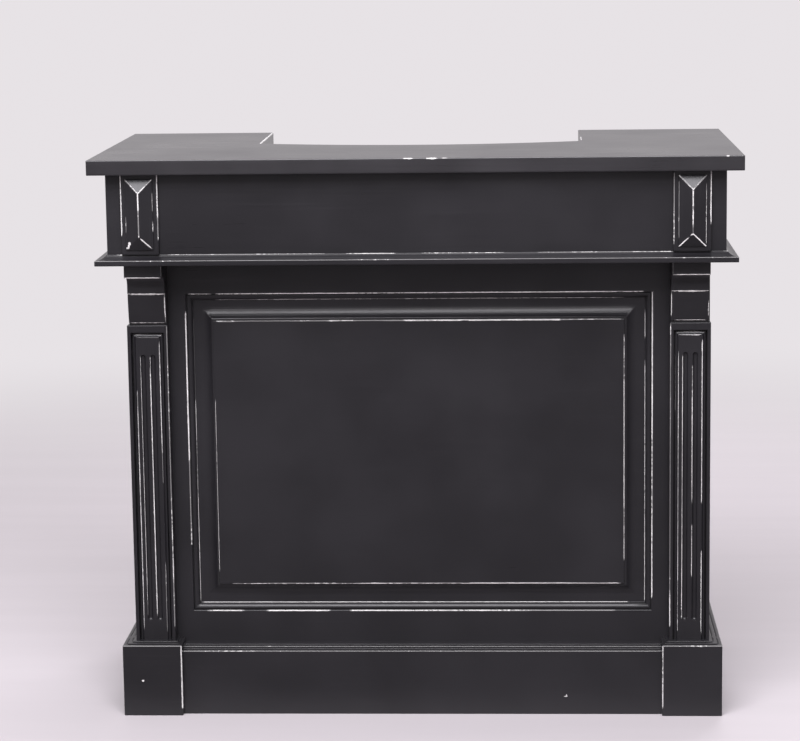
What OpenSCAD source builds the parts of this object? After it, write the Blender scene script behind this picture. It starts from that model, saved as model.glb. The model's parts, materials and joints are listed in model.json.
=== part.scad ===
// Bar cabinet with a U-shaped top: a panelled customer side with fluted pilasters,
// and a service side with two drawers, two cupboards and open bottle shelves.
// X runs to the right as a customer sees it, Y from the customer to the server, and Z up.
// The origin lies on the floor, under the middle of the countertop.

/* [Countertop] */
// Width of the countertop
top_w = 1250; // [1150:10:1500]
// Depth of the countertop at its wings
top_d = 600; // [560:10:720]
// Height of the counter above the floor
total_h = 1118; // [1050:1:1200]
// Thickness of the countertop
top_t = 29; // [22:1:40]
// Rounding of the countertop's outer edges
top_edge_r = 1.5; // [0.5:0.5:4]
// Overhang of the countertop past the frieze, and past the back
top_overhang = 31; // [30:1:40]
// Width of the bay cut into the back of the countertop
bay_w = 652; // [560:2:690]
// Distance from the front edge of the countertop to the corners of the bay
bay_corner_d = 337; // [320:1:360]
// Rise of the bay's arc towards the customer
bay_rise = 57; // [40:1:64]
// Overhang of the countertop past the partitions
bay_overhang = 12; // [6:1:20]

/* [Frieze and belt] */
// Height of the frieze between the belt moulding and the countertop
frieze_h = 156; // [146:1:180]
// Thickness of the frieze boards
frieze_t = 24; // [18:1:30]
// Height of the belt moulding
belt_h = 20; // [18:1:30]
// Projection of the belt moulding past the frieze
belt_out = 22; // [16:1:28]
// Height of the belt moulding's plain face
belt_face_h = 10.5; // [7:0.5:12]
// Width of the flat on top of that face
belt_nose = 2; // [1:0.5:4]
// Width of the fillet at the top of the belt moulding
belt_fillet_w = 3; // [2:0.5:5]
// Height of that fillet
belt_fillet_h = 2; // [1:0.5:3]
// Distance from the end of the frieze to the middle of a plaque, and of the corbel below it
plaque_in = 65.5; // [62:0.5:70]
// Width of the plaques on the frieze
plaque_w = 72; // [60:1:80]
// Thickness of the plaques
plaque_t = 8; // [5:1:10]
// Width of the pyramid blocks
pyramid_w = 53; // [40:1:56]
// Height of the pyramid blocks
pyramid_h = 137; // [120:1:144]
// Thickness of a pyramid block at its edge
pyramid_edge = 3; // [2:0.5:5]
// Relief of a pyramid block over its edge
pyramid_relief = 12; // [6:0.5:14]

/* [Front frame and panel] */
// Distance from the front edge of the countertop to the pilasters
pilaster_back = 88; // [84:1:100]
// Thickness of the stiles and rails
frame_t = 26; // [24:1:30]
// Width of a stile of the front frame
stile_w = 113; // [100:1:125]
// Height of the panel opening's lower edge above the floor
opening_z = 201; // [190:1:220]
// Height of the top rail that shows under the belt moulding
top_rail_h = 72; // [60:1:90]
// Depth of the lip in front of the panel
panel_lip = 16; // [14:0.5:18]
// Width of the rebate that holds the panel
panel_rebate = 8; // [6:0.5:10]
// Play of the floating panel in its rebate
panel_play = 1; // [0.5:0.1:2]
// Width of the panel moulding
moulding_w = 13; // [12:0.5:18]
// Depth of the quirk beside the moulding's bead
quirk_d = 8; // [6:0.5:10]
// Width of the quirk
quirk_w = 2.5; // [1.5:0.5:4]
// Radius of the moulding's bead
bead_r = 8; // [6:0.5:9]
// Distance of the bead's centre from the quirk, and in front of the fillet
bead_set = 1; // [0:0.25:1.5]
// Height of the moulding's inner fillet over the panel
moulding_fillet = 2; // [1:0.5:3]
// Plain margin of the panel, from the opening's edge to the cove
panel_margin = 27; // [19:0.5:30]
// Width of the panel's cove
cove_w = 22; // [16:0.5:26]
// Relief of the panel's cove
cove_relief = 10; // [6:0.5:12]
// Width of the flat between the cove and the field
cove_flat = 4; // [2:0.5:10]
// Relief of the raised field over that flat
field_step = 3; // [1.5:0.5:3.5]

/* [Pilasters and corbels] */
// Width of a pilaster
pilaster_w = 79; // [74:1:84]
// Thickness of a pilaster
pilaster_t = 30; // [26:1:36]
// Plain margin at the sides of a pilaster
pilaster_margin = 7; // [5:0.5:9]
// Plain margin at the head of a pilaster
pilaster_head = 15; // [8:0.5:20]
// Depth of the pocket that holds the fluted panel
pocket_d = 14; // [13:0.5:18]
// Width of the groove round the fluted panel
groove_w = 3.5; // [2:0.5:5]
// Thickness of the fluted panel at its edge
fluted_edge_t = 8; // [7:0.5:9]
// Width of the cove from that edge to the fluted field
fluted_cove_w = 5.5; // [4:0.5:7]
// Relief of that cove
fluted_relief = 4; // [2:0.5:5]
// Radius of the flutes
flute_r = 5; // [3:0.25:5.5]
// Distance between the two flutes
flute_pitch = 19.2; // [14:0.2:22]
// Distance from the foot of the pilaster to the flutes
flute_foot = 40; // [25:1:60]
// Distance from the head of the fluted panel to the flutes
flute_head = 40; // [25:1:60]
// Width of a corbel
corbel_w = 73; // [60:1:74]
// Height of a corbel
corbel_h = 128; // [110:1:150]
// Projection of the corbel's cap past the front frame
corbel_out = 78; // [74:1:84]
// Height of the corbel's cap
corbel_cap_h = 28; // [20:1:34]
// Step back under the corbel's cap
corbel_cap_step = 22; // [18:1:24]
// Width of the cove under the cap
corbel_cove_w = 13; // [8:1:16]
// Height of that cove
corbel_cove_h = 22; // [17:1:26]
// Height of the band under the cove
corbel_band_h = 14; // [8:1:20]
// Step back under the band
corbel_band_step = 2; // [0.5:0.5:4]
// Radius of the corbel's bowed lower face
corbel_bow_r = 200; // [120:10:400]
// Projection of that face past the pilaster, at its foot
corbel_foot_out = 2; // [1:0.5:5]
// Height of the groove between the corbel and the pilaster
corbel_groove_h = 5; // [3:0.5:8]
// Depth of that groove behind the pilaster's face
corbel_groove_d = 3; // [1:0.5:6]

/* [Plinth] */
// Distance from the front edge of the countertop to the plinth blocks
plinth_back = 62; // [56:1:66]
// Width of a plinth block
plinth_block_w = 118; // [110:1:130]
// Height of a plinth block's plain face
plinth_block_h = 144; // [120:1:160]
// Distance from the front of the blocks to the board between them
plinth_set_back = 12; // [8:1:15]
// Height of that board's plain face
plinth_board_h = 130; // [110:1:150]
// Thickness of the plinth boards
plinth_t = 24; // [18:1:30]
// Rise of each step on top of the plinth
plinth_step_h = 2; // [1:0.5:3]
// Run of each step on top of the plinth
plinth_step_w = 9; // [6:0.5:10]
// Thickness of the board's cap where it reaches the front frame
plinth_cap_t = 18; // [12:1:24]

/* [Carcass] */
// Thickness of the carcass boards
board_t = 18; // [16:1:22]
// Height of the floors' underside above the ground
floor_z = 130; // [100:1:150]
// Depth of the open bottle shelves
bar_shelf_d = 120; // [100:1:130]
// Height of the lower bottle shelf over the bay's floor
bar_shelf_lower = 265; // [200:5:300]
// Height of the upper bottle shelf over the bay's floor
bar_shelf_upper = 590; // [500:5:620]
// Width of the cleats under the bottle shelves
cleat_w = 20; // [15:1:30]
// Thickness of those cleats
cleat_t = 15; // [10:1:20]
// Diameter of the gallery rails of the bottle shelves
rail_d = 12; // [8:1:16]
// Height of the gallery rails over their shelf
rail_h = 70; // [50:5:100]
// Distance of the kick boards from the edge above them
kick_back = 40; // [20:5:60]
// Height of the cupboard shelf over the cupboard's floor
shelf_z = 370; // [250:5:500]
// Play of the cupboard shelf at each side
shelf_play = 1; // [0.5:0.1:2]
// Distance of the cupboard shelf from the door
shelf_back = 30; // [15:1:60]
// Radius of the shelf pins
pin_r = 2.5; // [2:0.25:4]
// Depth of a shelf pin in its board
pin_in = 9; // [6:0.5:12]
// Length of a shelf pin under the shelf
pin_out = 8; // [6:0.5:12]
// Distance of the shelf pins from the shelf's ends
pin_inset = 50; // [30:5:80]
// Clearance round a shelf pin in its hole
pin_play = 0.05; // [0.02:0.01:0.1]

/* [Doors and drawers] */
// Gap round the doors and the drawer fronts
front_gap = 1.5; // [1:0.1:3]
// Thickness of the doors and the drawer fronts
front_t = 20; // [18:1:24]
// Width of the stiles and rails of a door
door_frame_w = 42; // [36:1:50]
// Plain margin of a door panel
door_margin = 8; // [5:0.5:12]
// Width of a door panel's cove
door_cove_w = 12; // [8:0.5:14]
// Relief of a door panel's cove
door_cove_relief = 5; // [3:0.5:6]
// Width of the flat between a door panel's cove and its field
door_cove_flat = 2; // [1:0.5:4]
// Relief of a door panel's field over that flat
door_field_step = 1.5; // [0.5:0.5:2]
// Length of a drawer box
drawer_l = 360; // [300:5:380]
// Height of a drawer box
drawer_h = 130; // [80:1:136]
// Thickness of the drawer sides
drawer_side_t = 12; // [9:1:15]
// Thickness of the drawer bottom
drawer_bottom_t = 6; // [4:1:8]
// Height of the drawer bottom over the lower edge of the sides
drawer_bottom_z = 10; // [6:1:14]
// Depth of the groove that holds the drawer bottom
drawer_groove = 6; // [4:0.5:7]
// Play of the drawer bottom in its groove
drawer_bottom_play = 0.5; // [0.2:0.1:1]
// Play of a drawer box at each side
drawer_play = 1; // [0.5:0.1:2]
// Clearance under a drawer box, and before its back stop
drawer_run = 0.3; // [0.2:0.1:0.6]
// Width and height of the blocks that stop the drawers
drawer_stop_w = 30; // [20:1:40]
// Radius of the knobs
knob_r = 16; // [12:0.5:18]
// Projection of the knobs
knob_out = 26; // [22:0.5:28]
// Thickness of a knob's head
knob_head_t = 16; // [12:0.5:17]
// Radius of the domes of a knob's head
knob_dome_r = 24; // [20:0.5:30]
// Radius of a knob's neck
knob_neck_r = 6; // [4:0.5:8]
// Radius of a knob's foot
knob_foot_r = 10; // [8:0.5:12]
// Height of a knob's foot
knob_foot_h = 3; // [2:0.5:5]
// Distance from the top of a door to its knob
knob_drop = 130; // [80:5:300]

/* [Hinges and catches] */
// Radius of the hinge knuckles
knuckle_r = 3.5; // [3:0.25:4.5]
// Radius of the hinge pins
hinge_pin_r = 1.6; // [1:0.1:2]
// Clearance round a hinge pin
hinge_play = 0.05; // [0.02:0.01:0.1]
// Length of a hinge
hinge_l = 60; // [45:1:80]
// Thickness of the hinge leaves
leaf_t = 1.5; // [1:0.25:2]
// Width of a hinge leaf from the pin
leaf_w = 15; // [12:0.5:16]
// Gap between the knuckles of a hinge
knuckle_gap = 0.4; // [0.3:0.1:1]
// Clearance of a knuckle over the faces that its leaves lie on
knuckle_lift = 0.5; // [0.4:0.1:0.8]
// Distance from the ends of a door to the middle of its hinges
hinge_inset = 95; // [60:5:150]
// Clearance of a door's free edge as it swings
swing_play = 0.6; // [0.4:0.1:1.5]
// Length of a door catch
catch_l = 40; // [25:1:60]
// Height of a door catch
catch_h = 12; // [8:1:20]
// Depth of a door catch
catch_d = 14; // [10:1:20]
// Clearance between a catch and its closed door
catch_play = 0.4; // [0.3:0.1:0.8]

/* [Hidden] */
$fn = 64;
eps = 1;

top_z = total_h - top_t;
front_y = -top_d / 2;
frieze_y = front_y + top_overhang;
frieze_half = top_w / 2 - top_overhang;
body_half = frieze_half - frieze_t;
back_y = top_d / 2 - top_overhang;
belt_top = top_z - frieze_h;
belt_z = belt_top - belt_h;

pilaster_y = front_y + pilaster_back;
pilaster_x = body_half - pilaster_w / 2;
plaque_x = frieze_half - plaque_in;
frame_y = pilaster_y + pilaster_t;
inside_y = frame_y + frame_t;
opening_half = body_half - stile_w;
opening_top = belt_z - top_rail_h;
opening_mid = (opening_z + opening_top) / 2;
panel_grip = panel_rebate - panel_play;
panel_edge_t = frame_t - panel_lip;
corbel_z = belt_z - corbel_h;

plinth_y = front_y + plinth_back;
plinth_half = frieze_half;
block_in = plinth_half - plinth_block_w;
block_steps = 2;
board_steps = 3;
block_top = plinth_block_h + block_steps * plinth_step_h;

bay_y = front_y + bay_corner_d;
bay_r = (pow(bay_w / 2, 2) + pow(bay_rise, 2)) / (2 * bay_rise);
partition_x = bay_w / 2 + bay_overhang;
wing_in = partition_x + board_t;
wing_out = body_half - board_t;
wing_x = (wing_in + wing_out) / 2;
floor_top = floor_z + board_t;
divider_z = belt_top - board_t;
bar_shelf_y = inside_y + bar_shelf_d;

front_y0 = back_y - front_t;
hinge_x = wing_out - front_gap / 2;
hinge_y = back_y + knuckle_r + knuckle_lift;
swing = pow(hinge_y - front_y0, 2) / (2 * (hinge_x - wing_in));
door_x0 = wing_in + swing + swing_play;
door_x1 = wing_out - front_gap;
door_z0 = floor_top + front_gap;
door_z1 = divider_z - front_gap;
knuckle_l = (hinge_l - 2 * knuckle_gap) / 3;
shelf_bottom = floor_top + shelf_z;
shelf_y = front_y0 - shelf_back;

drawer_x0 = wing_in + drawer_play;
drawer_x1 = wing_out - drawer_play;
drawer_y = front_y0 - drawer_l;
drawer_z = belt_top + drawer_run;
drawer_front_z0 = belt_top + front_gap;
drawer_front_z1 = top_z - front_gap;

left = -1;
right = 1;
black = "#2a292d";
dark = "#222125";
raw_wood = "#c8a878";
metal = "#a08a4e";

// A board between two opposite corners
module board(lo, hi) translate(lo) cube(hi - lo);

// Places what is drawn for the right-hand side on the side s
module on_side(s) {
    if (s == left) mirror([1, 0, 0]) children();
    else children();
}

module on_both_sides() for (s = [left, right]) on_side(s) children();

// A profile drawn as (forward, up), run across from -half to half
module run_across(half)
    translate([half, 0, 0]) rotate([90, 0, -90]) linear_extrude(2 * half) children();

// A profile drawn as (outward, up), run from y0 back to y1
module run_back(y0, y1)
    translate([0, y1, 0]) rotate([90, 0, 0]) linear_extrude(y1 - y0) children();

// Radius of a cove that leaves a flat without a kink and rises by h over the width w
function cove_radius(w, h) = (w * w + h * h) / (2 * h);

// Countertop

module countertop() color(black) difference() {
    translate([0, 0, top_z]) intersection() {
        translate([-top_w / 2, 0, 0]) rotate([90, 0, 90]) linear_extrude(top_w) slab_section(top_d);
        translate([0, top_d / 2, 0]) rotate([90, 0, 0]) linear_extrude(top_d) slab_section(top_w);
    }
    translate([0, 0, top_z - eps]) linear_extrude(top_t + 2 * eps) bay_outline();
}

module slab_section(w) {
    in = w / 2 - top_edge_r;
    translate([-w / 2, top_edge_r]) square([w, top_t - 2 * top_edge_r]);
    translate([-in, 0]) square([2 * in, top_t]);
    for (x = [-in, in], z = [top_edge_r, top_t - top_edge_r]) translate([x, z]) circle(top_edge_r);
}

module bay_outline() {
    translate([-bay_w / 2, bay_y]) square([bay_w, top_d]);
    intersection() {
        translate([0, bay_y - bay_rise + bay_r]) circle(bay_r, $fn = 360);
        translate([-bay_w / 2, bay_y - bay_rise]) square([bay_w, 2 * bay_rise]);
    }
}

// Frieze and belt moulding

module frieze_front() color(black)
    board([-frieze_half, frieze_y, belt_top], [frieze_half, frieze_y + frieze_t, top_z]);

module frieze_sides() color(black) on_both_sides()
    board([body_half, frieze_y + frieze_t, belt_top], [frieze_half, back_y, top_z]);

module plaques() color(black) on_both_sides()
    board([plaque_x - plaque_w / 2, frieze_y - plaque_t, belt_top],
          [plaque_x + plaque_w / 2, frieze_y, top_z]);

// Hipped blocks: the four slopes of each are alike and meet in a ridge
module pyramid_blocks() color(black) on_both_sides()
    translate([plaque_x, frieze_y - plaque_t, (belt_top + top_z) / 2]) intersection() {
        translate([0, 0, -pyramid_h / 2]) linear_extrude(pyramid_h) hip_section(pyramid_w, 0);
        translate([-pyramid_w / 2, 0, 0]) rotate([0, 90, 0]) linear_extrude(pyramid_w)
            hip_section(pyramid_h, pyramid_h - pyramid_w);
    }

module hip_section(w, ridge) {
    peak = -pyramid_edge - pyramid_relief;
    polygon([[-w / 2, 0], [-w / 2, -pyramid_edge], [-ridge / 2, peak],
             [ridge / 2, peak], [w / 2, -pyramid_edge], [w / 2, 0]]);
}

// The belt moulding's section, outward from the frieze's face and up from its underside
module belt_section() {
    cove_in = belt_out - belt_nose;
    rise = belt_h - belt_fillet_h - belt_face_h;
    r = cove_radius(cove_in - belt_fillet_w, rise);
    translate([-frieze_t, 0]) square([frieze_t + belt_out, belt_face_h]);
    translate([-frieze_t, 0]) square([frieze_t + belt_fillet_w, belt_h]);
    difference() {
        translate([0, belt_face_h]) square([cove_in, rise]);
        translate([cove_in, belt_face_h + r]) circle(r, $fn = 180);
    }
}

module belt_front() color(black) intersection() {
    translate([0, frieze_y, belt_z]) run_across(frieze_half + belt_out) belt_section();
    belt_mitre([[-frieze_half - belt_out, frieze_y - belt_out], [frieze_half + belt_out, frieze_y - belt_out],
                [body_half, frieze_y + frieze_t], [-body_half, frieze_y + frieze_t]]);
}

module belt_sides() color(black) on_both_sides() intersection() {
    translate([frieze_half, 0, belt_z]) run_back(frieze_y - belt_out, back_y) belt_section();
    belt_mitre([[frieze_half + belt_out, frieze_y - belt_out], [frieze_half + belt_out, back_y],
                [body_half, back_y], [body_half, frieze_y + frieze_t]]);
}

module belt_mitre(outline) translate([0, 0, belt_z]) linear_extrude(belt_h) polygon(outline);

module soffit() color(dark)
    board([-body_half, frieze_y + frieze_t, belt_z], [body_half, frame_y, belt_top]);

// Corbels and pilasters

// Side view of a corbel, forward from the front frame and up from the pilaster
module corbel_section() {
    cap_z = corbel_h - corbel_cap_h;
    neck = corbel_out - corbel_cap_step;
    cove_z = cap_z - corbel_cove_h;
    band = neck - corbel_cove_w;
    band_z = cove_z - corbel_band_h;
    foot = pilaster_t + corbel_foot_out;
    chord = [band - corbel_band_step - foot, band_z - corbel_groove_h];
    middle = [foot, corbel_groove_h] + chord / 2;
    outward = [chord.y, -chord.x] / norm(chord);
    r = cove_radius(corbel_cove_h, corbel_cove_w);
    translate([0, cap_z]) square([corbel_out, corbel_cap_h]);
    difference() {
        translate([0, cove_z]) square([neck, corbel_cove_h]);
        translate([band + r, cove_z]) circle(r, $fn = 180);
    }
    translate([0, band_z]) square([band, corbel_band_h]);
    intersection() {
        translate([0, corbel_groove_h]) square([corbel_out, band_z - corbel_groove_h]);
        translate(middle - outward * sqrt(pow(corbel_bow_r, 2) - pow(norm(chord) / 2, 2)))
            circle(corbel_bow_r, $fn = 360);
    }
    square([pilaster_t - corbel_groove_d, corbel_groove_h]);
}

module corbel(s) color(black) on_side(s)
    translate([plaque_x, frame_y, corbel_z]) run_across(corbel_w / 2) corbel_section();

// A post with a pocket in its face, open at the foot
module pilaster(s) color(black) on_side(s) difference() {
    board([pilaster_x - pilaster_w / 2, pilaster_y, block_top],
          [pilaster_x + pilaster_w / 2, frame_y, corbel_z]);
    board([pilaster_x - pilaster_w / 2 + pilaster_margin, pilaster_y - eps, block_top - eps],
          [pilaster_x + pilaster_w / 2 - pilaster_margin, pilaster_y + pocket_d, corbel_z - pilaster_head]);
}

// The panel in that pocket: coved at its sides and head, with round-ended flutes in its field
module fluted_panel(s) color(black) on_side(s) {
    half = pilaster_w / 2 - pilaster_margin - groove_w;
    h = corbel_z - pilaster_head - groove_w - block_top;
    field_y = -fluted_edge_t - fluted_relief;
    translate([pilaster_x, pilaster_y + pocket_d, block_top]) difference() {
        intersection() {
            linear_extrude(h) coved_edge(half, half, fluted_edge_t, fluted_cove_w, fluted_relief);
            translate([-half, 0, h / 2]) rotate([0, 90, 0]) linear_extrude(2 * half)
                coved_edge(h / 2, h, fluted_edge_t, fluted_cove_w, fluted_relief);
        }
        for (x = [-flute_pitch / 2, flute_pitch / 2]) translate([x, field_y, 0]) {
            translate([0, 0, flute_foot + flute_r])
                cylinder(r = flute_r, h = h - flute_foot - flute_head - 2 * flute_r);
            for (z = [flute_foot + flute_r, h - flute_head - flute_r]) translate([0, 0, z]) sphere(flute_r);
        }
    }
}

// Section of a panel from -a to the lesser of a and b, coved at -a, and at a where b equals it
module coved_edge(a, b, edge_t, w, relief) {
    r = cove_radius(w, relief);
    difference() {
        translate([-a, -edge_t - relief]) square([2 * a, edge_t + relief]);
        translate([-a, -edge_t - r]) circle(r, $fn = 180);
        if (a == b) translate([a, -edge_t - r]) circle(r, $fn = 180);
    }
}

// Front frame and its panel

module stile(s) color(black) on_side(s) difference() {
    board([opening_half, frame_y, 0], [body_half, inside_y, top_z]);
    board([opening_half - eps, frame_y + panel_lip, opening_z - panel_rebate],
          [opening_half + panel_rebate, inside_y + eps, opening_top + panel_rebate]);
}

module rail_top() color(black) difference() {
    board([-opening_half, frame_y, opening_top], [opening_half, inside_y, top_z]);
    board([-opening_half - eps, frame_y + panel_lip, opening_top - eps],
          [opening_half + eps, inside_y + eps, opening_top + panel_rebate]);
}

module rail_bottom() color(black) difference() {
    board([-opening_half, frame_y, 0], [opening_half, inside_y, opening_z]);
    board([-opening_half - eps, frame_y + panel_lip, opening_z - panel_rebate],
          [opening_half + eps, inside_y + eps, opening_z + eps]);
}

// The panel moulding's section, in from the opening's edge and back from the frame's face
module moulding_section() {
    fillet_d = panel_lip - moulding_fillet;
    translate([0, quirk_d]) square([quirk_w, panel_lip - quirk_d]);
    translate([0, fillet_d]) square([moulding_w, moulding_fillet]);
    intersection() {
        translate([quirk_w, 0]) square([moulding_w - quirk_w, panel_lip]);
        translate([quirk_w + bead_set, fillet_d - bead_set]) circle(bead_r);
    }
}

// Four mitred strips round the opening
module panel_moulding() color(black) {
    w = 2 * opening_half;
    h = opening_top - opening_z;
    m = moulding_w;
    on_both_sides() intersection() {
        translate([-opening_half, frame_y, opening_z]) linear_extrude(h) moulding_section();
        moulding_mitre([[0, 0], [m, m], [m, h - m], [0, h]]);
    }
    for (up = [false, true]) flip_up(up) intersection() {
        translate([opening_half, frame_y, opening_z]) rotate([0, -90, 0]) linear_extrude(w)
            moulding_section();
        moulding_mitre([[0, 0], [w, 0], [w - m, m], [m, m]]);
    }
}

module moulding_mitre(outline)
    translate([-opening_half, frame_y + panel_lip, opening_z]) rotate([90, 0, 0])
        linear_extrude(panel_lip) polygon(outline);

module flip_up(up) {
    if (up) translate([0, 0, 2 * opening_mid]) mirror([0, 0, 1]) children();
    else children();
}

// Section of a raised and fielded panel: its edge, plain margin, cove, flat and raised field
module fielded_section(half, edge_t, margin, w, relief, flat, step) {
    r = cove_radius(w, relief);
    inner = half - margin;
    field = inner - w - flat;
    translate([-half, -edge_t]) square([2 * half, edge_t]);
    difference() {
        translate([-inner, -edge_t - relief]) square([2 * inner, edge_t + relief]);
        for (x = [-inner, inner]) translate([x, -edge_t - r]) circle(r, $fn = 180);
    }
    translate([-field, -edge_t - relief - step]) square([2 * field, edge_t + relief + step]);
}

module fielded_panel(half_w, half_h, edge_t, margin, w, relief, flat, step) intersection() {
    translate([0, 0, -half_h]) linear_extrude(2 * half_h)
        fielded_section(half_w, edge_t, margin, w, relief, flat, step);
    translate([-half_w, 0, 0]) rotate([0, 90, 0]) linear_extrude(2 * half_w)
        fielded_section(half_h, edge_t, margin, w, relief, flat, step);
}

module raised_panel() color(black) translate([0, inside_y, opening_mid])
    fielded_panel(opening_half + panel_grip, (opening_top - opening_z) / 2 + panel_grip, panel_edge_t,
                  panel_grip + panel_margin, cove_w, cove_relief, cove_flat, field_step);

// Plinth

// A board's side view with steps on top, outward from its back and up from the floor
module stepped_section(depth, face_h, steps)
    for (i = [0 : steps]) square([depth - i * plinth_step_w, face_h + i * plinth_step_h]);

module plinth_board() color(dark) translate([0, frame_y, 0]) run_across(block_in) {
    depth = frame_y - plinth_y - plinth_set_back;
    difference() {
        stepped_section(depth, plinth_board_h, board_steps);
        translate([-eps, -eps])
            square([depth - plinth_t + eps,
                    plinth_board_h + board_steps * plinth_step_h - plinth_cap_t + eps]);
    }
}

module plinth_blocks() color(dark) on_both_sides() intersection() {
    run = (pilaster_x - pilaster_w / 2 - block_in) / (block_steps + 1);
    translate([plinth_half - plinth_block_w / 2, frame_y, 0]) run_across(plinth_block_w / 2)
        stepped_section(frame_y - plinth_y, plinth_block_h, block_steps);
    run_back(plinth_y, frame_y) for (i = [0 : block_steps]) translate([block_in + i * run, 0])
        square([plinth_block_w - i * (run + plinth_step_w), plinth_block_h + i * plinth_step_h]);
}

module plinth_sides() color(dark) on_both_sides()
    translate([body_half, 0, 0]) run_back(frame_y, back_y)
        stepped_section(plinth_half - body_half, plinth_block_h, block_steps);

// Carcass

module shelf_pin_holes(x) for (y = [inside_y + pin_inset, shelf_y - pin_inset])
    translate([x - pin_in, y, shelf_bottom - pin_r]) rotate([0, 90, 0])
        cylinder(r = pin_r + pin_play, h = 2 * pin_in);

module side(s) color(black) on_side(s) difference() {
    board([wing_out, inside_y, 0], [body_half, back_y, top_z]);
    shelf_pin_holes(wing_out);
}

module partition(s) color(black) on_side(s) difference() {
    board([partition_x, inside_y, 0], [wing_in, back_y, top_z]);
    shelf_pin_holes(wing_in);
}

module wing_floors() color(dark) on_both_sides()
    board([wing_in, inside_y, floor_z], [wing_out, back_y, floor_top]);

module dividers() color(dark) on_both_sides()
    board([wing_in, inside_y, divider_z], [wing_out, back_y, belt_top]);

module kick_boards() color(dark) {
    on_both_sides()
        board([wing_in, back_y - kick_back - board_t, 0], [wing_out, back_y - kick_back, floor_z]);
    board([-partition_x, bar_shelf_y - kick_back - board_t, 0],
          [partition_x, bar_shelf_y - kick_back, floor_z]);
}

// A shelf across the bay, with its top at z
module bay_shelf(z) color(dark) board([-partition_x, inside_y, z - board_t], [partition_x, bar_shelf_y, z]);

module shelf_cleats() color(dark) on_both_sides()
    for (h = [bar_shelf_lower, bar_shelf_upper])
        board([partition_x - cleat_t, inside_y, floor_top + h - board_t - cleat_w],
              [partition_x, bar_shelf_y - cleat_w, floor_top + h - board_t]);

module gallery_rails() color(black)
    for (h = [0, bar_shelf_lower, bar_shelf_upper])
        translate([-partition_x, bar_shelf_y - rail_d, floor_top + h + rail_h]) rotate([0, 90, 0])
            cylinder(d = rail_d, h = 2 * partition_x);

module top_cleat() color(dark)
    board([-partition_x, inside_y, top_z - cleat_w], [partition_x, inside_y + cleat_w, top_z]);

module cupboard_shelves() color(dark) on_both_sides()
    board([wing_in + shelf_play, inside_y + shelf_play, shelf_bottom],
          [wing_out - shelf_play, shelf_y, shelf_bottom + board_t]);

module shelf_pins() color(metal) on_both_sides()
    for (y = [inside_y + pin_inset, shelf_y - pin_inset], x = [wing_in - pin_in, wing_out - pin_out])
        translate([x, y, shelf_bottom - pin_r]) rotate([0, 90, 0]) cylinder(r = pin_r, h = pin_in + pin_out);

module door_catches() color(metal) on_both_sides()
    board([wing_in + door_frame_w, front_y0 - catch_play - catch_d, divider_z - catch_h],
          [wing_in + door_frame_w + catch_l, front_y0 - catch_play, divider_z]);

module drawer_stops() color(raw_wood) on_both_sides()
    board([wing_x - drawer_stop_w / 2, inside_y, belt_top],
          [wing_x + drawer_stop_w / 2, drawer_y - drawer_run, belt_top + drawer_stop_w]);

// Drawers

module drawer_box(s) color(raw_wood) on_side(s) difference() {
    board([drawer_x0, drawer_y, drawer_z], [drawer_x1, front_y0, drawer_z + drawer_h]);
    board([drawer_x0 + drawer_side_t, drawer_y + drawer_side_t, drawer_z - eps],
          [drawer_x1 - drawer_side_t, front_y0 - drawer_side_t, drawer_z + drawer_h + eps]);
    drawer_plate(drawer_groove);
}

module drawer_bottom(s) color(raw_wood) on_side(s) drawer_plate(drawer_groove - drawer_bottom_play);

// The drawer bottom, let into the four sides by the depth given
module drawer_plate(depth) {
    in = drawer_side_t - depth;
    board([drawer_x0 + in, drawer_y + in, drawer_z + drawer_bottom_z],
          [drawer_x1 - in, front_y0 - in, drawer_z + drawer_bottom_z + drawer_bottom_t]);
}

module drawer_front(s) color(black) on_side(s)
    board([wing_in + front_gap, front_y0, drawer_front_z0], [wing_out - front_gap, back_y, drawer_front_z1]);

module drawer_knob(s) color(metal) on_side(s)
    translate([wing_x, back_y, (drawer_front_z0 + drawer_front_z1) / 2]) knob();

// A turned knob that stands out towards +Y
module knob() rotate([-90, 0, 0]) rotate_extrude() {
    square([knob_foot_r, knob_foot_h]);
    square([knob_neck_r, knob_out - knob_head_t / 2]);
    intersection() {
        square([knob_r, knob_out]);
        translate([0, knob_out - knob_dome_r]) circle(knob_dome_r, $fn = 180);
        translate([0, knob_out - knob_head_t + knob_dome_r]) circle(knob_dome_r, $fn = 180);
    }
}

// Doors

module door_rebate() board(
    [door_x0 + door_frame_w - panel_rebate, front_y0 - eps, door_z0 + door_frame_w - panel_rebate],
    [door_x1 - door_frame_w + panel_rebate, front_y0 + panel_edge_t, door_z1 - door_frame_w + panel_rebate]);

module door_stiles(s) color(black) on_side(s) difference() {
    for (x = [door_x0, door_x1 - door_frame_w])
        board([x, front_y0, door_z0], [x + door_frame_w, back_y, door_z1]);
    door_rebate();
}

module door_rails(s) color(black) on_side(s) difference() {
    for (z = [door_z0, door_z1 - door_frame_w])
        board([door_x0 + door_frame_w, front_y0, z], [door_x1 - door_frame_w, back_y, z + door_frame_w]);
    door_rebate();
}

module door_panel(s) color(black) on_side(s)
    translate([(door_x0 + door_x1) / 2, front_y0, (door_z0 + door_z1) / 2]) mirror([0, 1, 0])
        fielded_panel((door_x1 - door_x0) / 2 - door_frame_w + panel_grip,
                      (door_z1 - door_z0) / 2 - door_frame_w + panel_grip, panel_edge_t,
                      panel_grip + door_margin, door_cove_w, door_cove_relief, door_cove_flat,
                      door_field_step);

module door_knob(s) color(metal) on_side(s)
    translate([door_x0 + door_frame_w / 2, back_y, door_z1 - knob_drop]) knob();

// Hinges

// Places what follows at each hinge's pin, at the hinge's middle height
module at_hinges() for (z = [door_z0 + hinge_inset, door_z1 - hinge_inset])
    translate([hinge_x, hinge_y, z]) children();

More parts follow.
